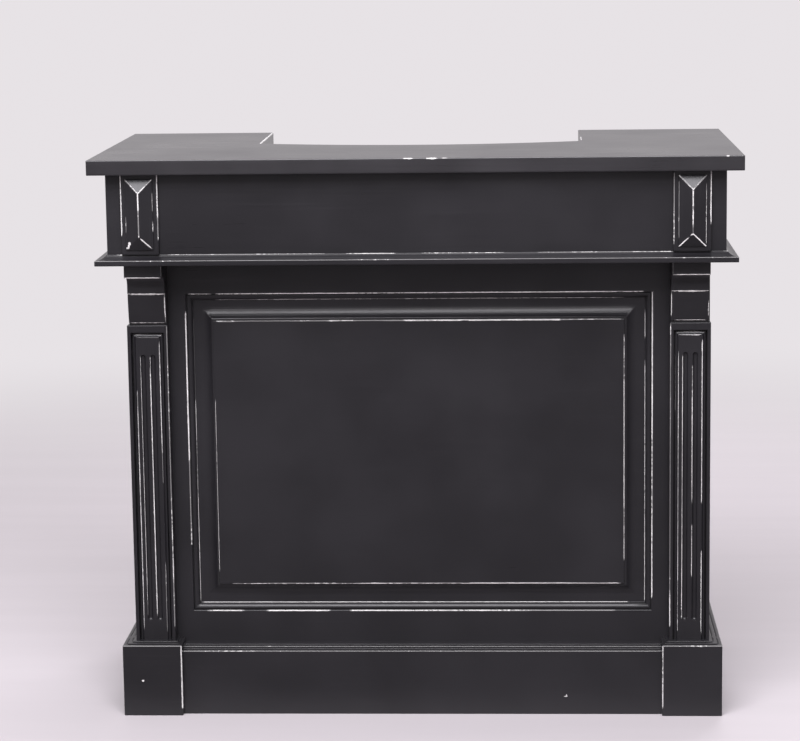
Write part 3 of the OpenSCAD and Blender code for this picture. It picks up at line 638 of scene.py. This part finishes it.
# Rubbed lines of the customer's side, in millimetres: the axis that the arris runs along, its place across,
# and where each level of wear begins
RUBBED = {
    "countertop": [("y", -326, ((40, 0.9), (300, 0))), ("y", 326, ((60, 0.7), (130, 0)))],
    "plaques": [("z", -564.5, ((972, 0.9), (1087, 0))), ("z", 492.5, ((946, 0.5), (1085, 0))),
                ("z", -492.5, ((960, 0.45), (1002, 0.78), (1088, 0))),
                ("z", 564.5, ((984, 0.45), (996, 0.9), (1088, 0)))],
    "pyramid_blocks": [("z", -555, ((977, 0.62), (1007, 0))), ("z", 502, ((958, 0.45), (1069, 0))),
                       ("z", -502, ((979, 0.75), (995, 0.2), (1020, 0.6), (1053, 0))),
                       ("z", 555, ((948, 0.75), (988, 0.55), (1064, 0))),
                       ("z", -528.5, ((960, 0.42), (1021, 0.72), (1060, 0))),
                       ("z", 528.5, ((960, 0.3), (985, 0.68), (1010, 0.5), (1019, 0.75), (1060, 0)))],
    # The nose's top line at 923.5 is at the film's level only: a painted highlight
    "belt_front": [("x", 923.5, ((-640, 0.335), (640, 0))),
                   ("x", 933, ((-575, 0.6), (-558, 0.2), (-475, 0.45), (-406, 0.6), (-177, 0.2), (-131, 0.55),
                               (-39, 0.2), (15, 0.64), (167, 0.2), (236, 0.45), (297, 0.68), (488, 0.2),
                               (590, 0.6), (616, 0)))],
    "corbel_left": [("x", 885, ((-580, 0.8), (-500, 0.3), (-480, 0))), ("x", 849, ((-580, 1), (-480, 0))),
                    ("x", 790, ((-562, 0.62), (-495, 0))),
                    ("z", -492, ((790, 0.45), (800, 0.85), (845, 0.1), (885, 0.3), (913, 0)))],
    "corbel_right": [("x", 885, ((480, 0.62), (575, 0))), ("x", 849, ((480, 1), (575, 0))),
                     ("x", 790, ((500, 0.62), (560, 0))), ("z", 565, ((798, 0.62), (830, 0))),
                     ("z", 492, ((800, 0.85), (845, 0.1), (885, 0.3), (913, 0)))],
    "pilaster_left": [("z", -491, ((176, 0.6), (300, 0.45), (785, 0)))],
    "pilaster_right": [("z", 491, ((175, 0.55), (240, 0.34), (560, 0.45), (640, 0.34), (700, 0.5),
                                   (785, 0)))],
    "fluted_panel_left": [("z", -554, ((170, 0.85), (615, 0.6), (655, 0))),
                          ("z", -545.1, ((200, 0.6), (262, 1), (722, 0))),
                          ("z", -525.9, ((199, 1), (722, 0))),
                          ("z", -507, ((164, 0.6), (306, 0.2), (470, 0.5), (532, 0.95), (752, 0))),
                          ("x", 766.5, ((-552, 0.95), (-499, 0))), ("x", 761, ((-552, 0.62), (-508, 0)))],
    "fluted_panel_right": [("z", 501.5, ((610, 0.95), (720, 0))),
                           ("z", 507, ((165, 0.5), (268, 1), (726, 0))),
                           ("z", 515.9, ((193, 1), (720, 0))), ("x", 766.5, ((506, 0.6), (552, 0))),
                           ("z", 535.1, ((276, 0.65), (380, 0.2), (430, 1), (632, 0.55), (700, 0))),
                           ("z", 554, ((160, 0.8), (328, 0.2), (428, 0.95), (750, 0))),
                           ("x", 761, ((508, 1), (550, 0)))],
    "stile_left": [("z", -457, ((335, 0.45), (508, 0.95), (806, 0)))],
    "stile_right": [("z", 457, ((225, 0.64), (345, 0.8), (850, 0)))],
    "rail_top": [("x", 841, ((-450, 0.62), (-409, 0.2), (-395, 0.8), (440, 0)))],
    "rail_bottom": [("x", 201, ((-429, 0.66), (-357, 0.1), (-309, 0.76), (-185, 0.2), (-141, 0.76),
                                (51, 0.68), (219, 0.45), (387, 0)))],
    "panel_moulding": [("z", -444, ((218, 1), (425, 0.68), (625, 0.3), (795, 0))),
                       ("x", 214, ((-440, 1), (410, 0))),
                       ("z", 444, ((217, 0.8), (700, 0.2), (750, 0.75), (803, 0))),
                       ("x", 828, ((-400, 0.62), (-360, 0.35), (-320, 0.66), (150, 0.6), (403, 0)))],
    "raised_panel": [("z", -404, ((281, 0.78), (630, 0))),
                     ("z", 404, ((302, 0.66), (410, 1), (665, 0.62), (757, 0))),
                     ("x", 788, ((-398, 0.66), (-361, 0.42), (-180, 0.72), (-125, 0.5), (-30, 0.85), (100, 1),
                                 (277, 0.5), (348, 0.4), (400, 0))),
                     ("x", 254, ((-380, 0.45), (-347, 0.55), (-202, 0.45), (-130, 0.62), (86, 1), (395, 0)))],
    # The blocks' top edges at 144 are at the film's level only: a painted highlight
    "plinth_blocks": [("z", -476, ((16, 0.9), (144, 0.5), (150, 0))),
                      ("z", 476, ((16, 0.8), (144, 0.5), (150, 0))), ("x", 144, ((-600, 0.335), (600, 0))),
                      ("x", 146, ((-600, 0.1), (600, 0))), ("x", 148, ((-600, 0.1), (600, 0)))],
    # The board's cap lines at 130 and 134 are mostly at the film's level: a painted highlight, with some wear
    # at the left
    "plinth_board": [("x", 130, ((-480, 0.48), (-330, 0.345), (480, 0))),
                     ("x", 134, ((-480, 0.345), (480, 0))),
                     ("x", 132, ((-480, 0.2), (480, 0))), ("x", 136, ((-480, 0.1), (480, 0)))],
}

# Slanting strokes of wear, in millimetres: X and Z of one end, X and Z of the other, and the level
STROKES = {
    "pyramid_blocks": [(-555, 1079.5, -528.5, 1053, 0.6), (-517, 1064.5, -528.5, 1053, 0.78),
                       (-502, 1079.5, -517, 1064.5, 0.5), (-523, 963.5, -510, 950.5, 0.75),
                       (502, 1079.5, 528.5, 1053, 0.75), (528.5, 1053, 543, 1067.5, 0.72),
                       (543, 1067.5, 555, 1079.5, 0.55), (502, 942.5, 518, 958.5, 0.68),
                       (528.5, 969, 536, 961.5, 0.78), (536, 961.5, 555, 942.5, 0.62)],
}

# Each group's nodes: finish, the axis that the board runs along, share of the arris width, and wear
GROUPS = {
    "countertop": {"countertop": ("top_paint", "x", 0.8, 0.08)},
    "frieze": {"frieze_front": ("worn_paint", "x", 0.6, 0.1), "frieze_sides": ("worn_paint", "y", 0.7, 0.25),
               "plaques": ("worn_paint", "z", 0.8, 0.1), "pyramid_blocks": ("chipped_paint", "z", 0.45, 0.1),
               "belt_front": ("worn_paint", "x", 0.8, 0.1), "belt_sides": ("worn_paint", "y", 0.8, 0.4),
               "soffit": ("inside_paint", "x", 0.5, 0.0)},
    "corbels": {"corbel": ("chipped_paint", "x", 0.8, 0.1), "pilaster": ("worn_paint", "z", 0.7, 0.1),
                "fluted_panel": ("worn_paint", "z", 0.8, 0.1)},
    "front": {"stile": ("chipped_paint", "z", 0.8, 0.1), "rail_top": ("worn_paint", "x", 0.8, 0.1),
              "rail_bottom": ("worn_paint", "x", 0.8, 0.1), "panel_moulding": ("worn_paint", "x", 0.8, 0.1),
              "raised_panel": ("worn_paint", "x", 1.0, 0.1)},
    "plinth": {"plinth_board": ("chipped_paint", "x", 0.6, 0.1),
               "plinth_blocks": ("chipped_paint", "x", 0.8, 0.12),
               "plinth_sides": ("chipped_paint", "y", 0.8, 0.3)},
    "carcass": {"side": ("worn_paint", "z", 0.7, 0.5), "partition": ("inside_paint", "z", 0.7, 0.4),
                "wing_floors": ("inside_paint", "y", 0.6, 0.35), "dividers": ("inside_paint", "y", 0.6, 0.35),
                "kick_boards": ("inside_paint", "x", 0.6, 0.35),
                "bay_floor": ("inside_paint", "x", 0.7, 0.45), "top_cleat": ("inside_paint", "x", 0.6, 0.2)},
    "shelves": {"bar_shelf_low": ("inside_paint", "x", 0.8, 0.45),
                "bar_shelf_high": ("inside_paint", "x", 0.8, 0.45),
                "shelf_cleats": ("inside_paint", "y", 0.6, 0.2),
                "gallery_rails": ("worn_paint", "x", 0.0, 0.0),
                "cupboard_shelves": ("inside_paint", "y", 0.8, 0.35)},
    "drawers": {"drawer_box": ("bare_wood", "y", 0.6, 0.0), "drawer_bottom": ("bare_wood", "x", 0.0, 0.0),
                "drawer_front": ("worn_paint", "x", 0.9, 0.58), "drawer_stops": ("bare_wood", "y", 0.5, 0.0)},
    "doors": {"door_stiles": ("worn_paint", "z", 0.8, 0.56), "door_rails": ("worn_paint", "x", 0.8, 0.56),
              "door_panel": ("worn_paint", "z", 0.9, 0.6)},
    "fittings": {"drawer_knob": ("brass", "y", 0.0, 0.0), "door_knob": ("brass", "y", 0.0, 0.0),
                 "hinge_posts": ("brass", "z", 0.25, 0.0), "hinge_leaves": ("brass", "z", 0.25, 0.0),
                 "shelf_pins": ("brass", "x", 0.0, 0.0), "door_catches": ("steel", "x", 0.3, 0.0)},
}


def dress_group(name):
    """Dresses every node of a group, on both sides where it has them"""
    width = bpy.context.scene.counter_paint.arris
    for stem, (finish, along, share, wear) in GROUPS[name].items():
        nodes = [n for n in (stem, stem + "_left", stem + "_right") if n in frame["nodes"]]
        if not nodes:
            raise RuntimeError("the frame has no node %s" % stem)
        for node in nodes:
            dress(node, finish, along, width * share, wear)


# Screws in the hinge leaves

def screw_tree():
    """Geometry nodes: slotted domed screws in rows, at hinges one over the other, on one side or two"""
    group = bpy.data.node_groups.new("hinge_screws", "GeometryNodeTree")
    face = group.interface
    for name, kind, value in (("Screws", "NodeSocketInt", 3), ("Pitch", "NodeSocketFloat", 0.02),
                              ("Head radius", "NodeSocketFloat", 0.0027),
                              ("First", "NodeSocketVector", (0, 0, 0)),
                              ("Hinge spacing", "NodeSocketFloat", 0.5), ("Sides", "NodeSocketInt", 1),
                              ("Side spacing", "NodeSocketFloat", 1.0), ("Seed", "NodeSocketInt", 7),
                              ("Material", "NodeSocketMaterial", None)):
        socket = face.new_socket(name=name, in_out="INPUT", socket_type=kind)
        if value is not None:
            socket.default_value = value
    face.new_socket(name="Geometry", in_out="OUTPUT", socket_type="NodeSocketGeometry")
    tree = Tree(group)
    given = group.nodes.new("NodeGroupInput")
    get = {socket.name: Value(tree, socket) for socket in given.outputs if socket.name}

    def vector(x, y, z):
        return tree.add("ShaderNodeCombineXYZ", None, x, y, z)

    def line(count, start, offset):
        return tree.add("GeometryNodeMeshLine", {"mode": "OFFSET"}, Count=count, Start_Location=start,
                        Offset=offset)

    r = get["Head radius"]
    ball = tree.add("GeometryNodeMeshUVSphere", None, Segments=20, Rings=10, Radius=r)
    dome = tree.add("GeometryNodeTransform", None, Geometry=ball, Scale=(1, 1, 0.36))
    blade = tree.add("GeometryNodeMeshCube", None, Size=vector(r * 2.4, r * 0.26, r * 0.5))
    blade = tree.add("GeometryNodeTransform", None, Geometry=blade, Translation=vector(0.0, 0.0, r * 0.42))
    head = tree.add("GeometryNodeMeshBoolean", {"operation": "DIFFERENCE"}, dome, blade)
    spin = tree.add("FunctionNodeRandomValue", {"data_type": "FLOAT"}, s2=0.0, s3=3.1, Seed=get["Seed"],
                    out=1)
    row = line(get["Screws"], vector(0.0, 0.0, (get["Screws"] - 1) * get["Pitch"] * -0.5),
               vector(0.0, 0.0, get["Pitch"]))
    row = tree.add("GeometryNodeInstanceOnPoints", None, Points=row, Instance=head,
                   Rotation=vector(-math.pi / 2, spin, 0.0))
    hinges = line(2, get["First"], vector(0.0, 0.0, get["Hinge spacing"]))
    rows = tree.add("GeometryNodeInstanceOnPoints", None, Points=hinges, Instance=row)
    sides = line(get["Sides"], (0, 0, 0), vector(get["Side spacing"], 0.0, 0.0))
    every = tree.add("GeometryNodeInstanceOnPoints", None, Points=sides, Instance=rows)
    real = tree.add("GeometryNodeRealizeInstances", None, every)
    done = tree.add("GeometryNodeSetMaterial", None, Geometry=real, Material=get["Material"])
    tree.add("NodeGroupOutput", None, done)
    return group


def add_screws(group, name, body, inputs):
    """One mesh of screws that rides on a body, from the tree's named inputs"""
    piece = bpy.data.objects.new(name, bpy.data.meshes.new(name))
    bpy.context.scene.collection.objects.link(piece)
    modifier = piece.modifiers.new("screws", "NODES")
    modifier.node_group = group
    for item in group.interface.items_tree:
        if item.in_out == "INPUT" and item.name in inputs:
            modifier[item.identifier] = inputs[item.name]
    mesh = evaluated(piece)
    if not mesh.polygons:
        raise RuntimeError("%s made no screws" % name)
    mesh.name = name
    mesh.shade_smooth()
    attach(piece, body)


# Operators

def lay_floor(settings):
    """A wide disc that fades into the backdrop away from the counter"""
    shape = bmesh.new()
    bmesh.ops.create_circle(shape, cap_ends=True, segments=96, radius=30.0)
    mesh = bpy.data.meshes.new("floor")
    shape.to_mesh(mesh)
    shape.free()
    floor = bpy.data.objects.new("floor", mesh)
    bpy.context.scene.collection.objects.link(floor)
    material, tree = new_material("pale_floor")
    streaks = tree.noise(tree.place((0.7, 9.0, 1.0)), 1.0, 4.0, 0.6)
    tint = tree.blend(streaks.step(0.3, 0.7), [c * 0.985 for c in settings.floor],
                      [c * 1.015 for c in settings.floor])
    solid = tree.add("ShaderNodeBsdfPrincipled", None, Base_Color=tint, Roughness=0.6,
                     Specular_IOR_Level=0.25)
    bright = tree.add("ShaderNodeEmission", None, colour4(settings.backdrop), 1.0)
    far = tree.length(tree.place()).step(1.6, 4.2)

    # Glossy paint shows a darker floor in front of the counter
    depth, shiny = tree.part(tree.place(), "y"), tree.ray("glossy")
    shade = tree.add("ShaderNodeEmission", None, colour4(settings.floor), 0.15)
    solid = tree.add("ShaderNodeMixShader", None, shiny * (1 - depth.step(-0.42, -0.24)) * 0.8, solid, shade)
    seen = tree.ray("camera").most(shiny * depth.step(-0.6, 0.6))
    ground = tree.add("ShaderNodeMixShader", None, far * seen, solid, bright)
    tree.add("ShaderNodeOutputMaterial", None, ground)
    mesh.materials.append(material)


def light_world(settings):
    """Backdrop for camera, glossy and transmission rays, and a soft fill for the rest. Glossy rays from the
    front meet a dim backdrop, and a brighter one higher up."""
    world = bpy.context.scene.world or bpy.data.worlds.new("studio")
    bpy.context.scene.world = world
    world.use_nodes = True
    tree = Tree(world.node_tree)
    glossy = tree.ray("glossy")
    seen = tree.ray("camera").most(glossy).most(tree.ray("transmission"))
    back, up = (tree.part(tree.add("ShaderNodeTexCoord", out=0), axis) for axis in "yz")
    dim = glossy * (1 - back.step(-0.7, 0.5)) * (0.75 - 2.2 * up.step(-0.02, 0.3))
    backdrop = tree.add("ShaderNodeBackground", None, colour4(settings.backdrop), 1.0 - dim)
    fill = tree.add("ShaderNodeBackground", None, (1.0, 0.985, 0.99, 1.0), settings.fill)
    tree.add("ShaderNodeOutputWorld", None, tree.add("ShaderNodeMixShader", None, seen, fill, backdrop))


# Name, place, what it points at, size, share of the key lamp's power, and whether glossy paint shows it
LAMPS = (("key", (-0.3, -2.6, 3.5), (0, -0.1, 0.7), (3.4, 2.4), 1.0, True),
         ("rear", (0.9, 2.8, 3.2), (0, 0.1, 0.6), (2.2, 1.6), 0.33, False))


def hang_lamps(settings):
    for name, place, aim, size, share, shown in LAMPS:
        lamp = bpy.data.lights.new(name, "AREA")
        lamp.shape, lamp.size, lamp.size_y = "RECTANGLE", *size
        lamp.energy, lamp.color = settings.key * share, settings.lamp
        obj = bpy.data.objects.new(name, lamp)
        obj.location = place
        obj.rotation_euler = (Vector(aim) - Vector(place)).to_track_quat("-Z", "Y").to_euler()
        obj.visible_glossy = shown
        bpy.context.scene.collection.objects.link(obj)


def set_camera(settings):
    """A camera at its place, with its yaw, pitch and roll, and its lens shift"""
    data = bpy.data.cameras.new("camera")
    data.sensor_width, data.lens = 36.0, settings.focal
    data.shift_x, data.shift_y = settings.shift
    yaw, pitch, roll = settings.turn
    ahead = Vector((math.sin(yaw) * math.cos(pitch), math.cos(yaw) * math.cos(pitch), -math.sin(pitch)))
    level = Vector((math.cos(yaw), -math.sin(yaw), 0.0))
    upright = level.cross(ahead)
    across = level * math.cos(roll) + upright * math.sin(roll)
    up = upright * math.cos(roll) - level * math.sin(roll)
    camera = bpy.data.objects.new("camera", data)
    facing = Matrix((across, up, -ahead)).transposed().to_4x4()
    camera.matrix_world = Matrix.Translation(settings.camera) @ facing
    bpy.context.scene.collection.objects.link(camera)
    bpy.context.scene.camera = camera


class COUNTER_OT_stage(bpy.types.Operator):
    """Sets the floor, the backdrop, the lamps and the camera"""
    bl_idname = "counter.stage"
    bl_label = "Stage"

    def execute(self, context):
        settings = context.scene.counter_stage
        context.scene.view_settings.view_transform = "Standard"
        light_world(settings)
        lay_floor(settings)
        hang_lamps(settings)
        set_camera(settings)
        return {"FINISHED"}


class GroupOperator:
    """Dresses one group of like pieces"""
    group = ""

    def execute(self, context):
        dress_group(self.group)
        return {"FINISHED"}


class COUNTER_OT_countertop(GroupOperator, bpy.types.Operator):
    """Dresses the countertop with its bay"""
    bl_idname = "counter.countertop"
    bl_label = "Countertop"
    group = "countertop"


class COUNTER_OT_frieze(GroupOperator, bpy.types.Operator):
    """Dresses the frieze, its plaques and pyramid blocks, and the belt moulding"""
    bl_idname = "counter.frieze"
    bl_label = "Frieze and belt"
    group = "frieze"


class COUNTER_OT_corbels(GroupOperator, bpy.types.Operator):
    """Dresses the corbels and the fluted pilasters"""
    bl_idname = "counter.corbels"
    bl_label = "Corbels and pilasters"
    group = "corbels"


class COUNTER_OT_front(GroupOperator, bpy.types.Operator):
    """Dresses the front frame, its moulding and the raised panel"""
    bl_idname = "counter.front"
    bl_label = "Front panel"
    group = "front"


class COUNTER_OT_plinth(GroupOperator, bpy.types.Operator):
    """Dresses the plinth's blocks and boards"""
    bl_idname = "counter.plinth"
    bl_label = "Plinth"
    group = "plinth"


class COUNTER_OT_carcass(GroupOperator, bpy.types.Operator):
    """Dresses the sides, partitions, floors and dividers"""
    bl_idname = "counter.carcass"
    bl_label = "Carcass"
    group = "carcass"


class COUNTER_OT_shelves(GroupOperator, bpy.types.Operator):
    """Dresses the bottle shelves, their rails and the cupboard shelves"""
    bl_idname = "counter.shelves"
    bl_label = "Shelves"
    group = "shelves"


class COUNTER_OT_drawers(GroupOperator, bpy.types.Operator):
    """Dresses the drawers"""
    bl_idname = "counter.drawers"
    bl_label = "Drawers"
    group = "drawers"


class COUNTER_OT_doors(GroupOperator, bpy.types.Operator):
    """Dresses the cupboard doors"""
    bl_idname = "counter.doors"
    bl_label = "Doors"
    group = "doors"


class COUNTER_OT_fittings(GroupOperator, bpy.types.Operator):
    """Dresses the knobs, hinges, shelf pins and catches"""
    bl_idname = "counter.fittings"
    bl_label = "Fittings"
    group = "fittings"


class COUNTER_OT_screws(bpy.types.Operator):
    """Sets the screws in the hinge leaves"""
    bl_idname = "counter.screws"
    bl_label = "Screws"

    def execute(self, context):
        settings = context.scene.counter_metal
        group = screw_tree()
        leaf_t, knuckle_r, hinge_l = 1.5 * MM, 3.5 * MM, 60 * MM
        pin = next(j["pos_m"] for j in RECORD["behaviour"]["joints"] if j["name"] == "door_right_hinge")
        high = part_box("hinge_posts")[1]
        leaf_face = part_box("door_stiles_right")[1].y + leaf_t
        half = 0.5 * (high.x - pin[0] + knuckle_r)
        spacing = 2 * (high.z - pin[2]) - hinge_l
        first = pin[2] - spacing / 2
        common = {"Screws": settings.screws, "Pitch": settings.screw_pitch, "Head radius": settings.screw_r,
                  "Hinge spacing": spacing, "Material": material_of("brass", "z")}
        add_screws(group, "screws_cabinet", "cabinet",
                   {**common, "First": (pin[0] + half, leaf_face, first), "Sides": 2,
                    "Side spacing": -2 * (pin[0] + half), "Seed": 3})
        for side, sign in (("left", -1), ("right", 1)):
            add_screws(group, "screws_door_" + side, "door_" + side,
                       {**common, "First": (sign * (pin[0] - half), leaf_face, first), "Seed": 11 + sign})
        bpy.data.node_groups.remove(group)
        return {"FINISHED"}


OPERATORS = (COUNTER_OT_stage, COUNTER_OT_countertop, COUNTER_OT_frieze, COUNTER_OT_corbels, COUNTER_OT_front,
             COUNTER_OT_plinth, COUNTER_OT_carcass, COUNTER_OT_shelves, COUNTER_OT_drawers, COUNTER_OT_doors,
             COUNTER_OT_fittings, COUNTER_OT_screws)


class COUNTER_PT_sidebar(bpy.types.Panel):
    """Lists the counter's pieces"""
    bl_idname = "COUNTER_PT_sidebar"
    bl_label = "Bar counter cabinet"
    bl_space_type = "VIEW_3D"
    bl_region_type = "UI"
    bl_category = "Counter"

    def draw(self, context):
        for operator in OPERATORS:
            self.layout.operator(operator.bl_idname)
        for name in SETTINGS:
            box = self.layout.box()
            settings = getattr(context.scene, name)
            for key in settings.bl_rna.properties.keys():
                if key not in ("rna_type", "name"):
                    box.prop(settings, key)


SETTINGS = {"counter_paint": CounterPaint, "counter_top": CounterTop, "counter_wood": CounterWood,
            "counter_metal": CounterMetal, "counter_stage": CounterStage}


def register():
    for cls in (*SETTINGS.values(), *OPERATORS, COUNTER_PT_sidebar):
        bpy.utils.register_class(cls)
    for name, cls in SETTINGS.items():
        setattr(bpy.types.Scene, name, PointerProperty(type=cls))


def unregister():
    for name in SETTINGS:
        delattr(bpy.types.Scene, name)
    for cls in reversed((*SETTINGS.values(), *OPERATORS, COUNTER_PT_sidebar)):
        bpy.utils.unregister_class(cls)


def main():
    register()
    for operator in OPERATORS:
        category, name = operator.bl_idname.split(".")
        getattr(getattr(bpy.ops, category), name)()
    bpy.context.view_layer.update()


if __name__ == "__main__":
    main()
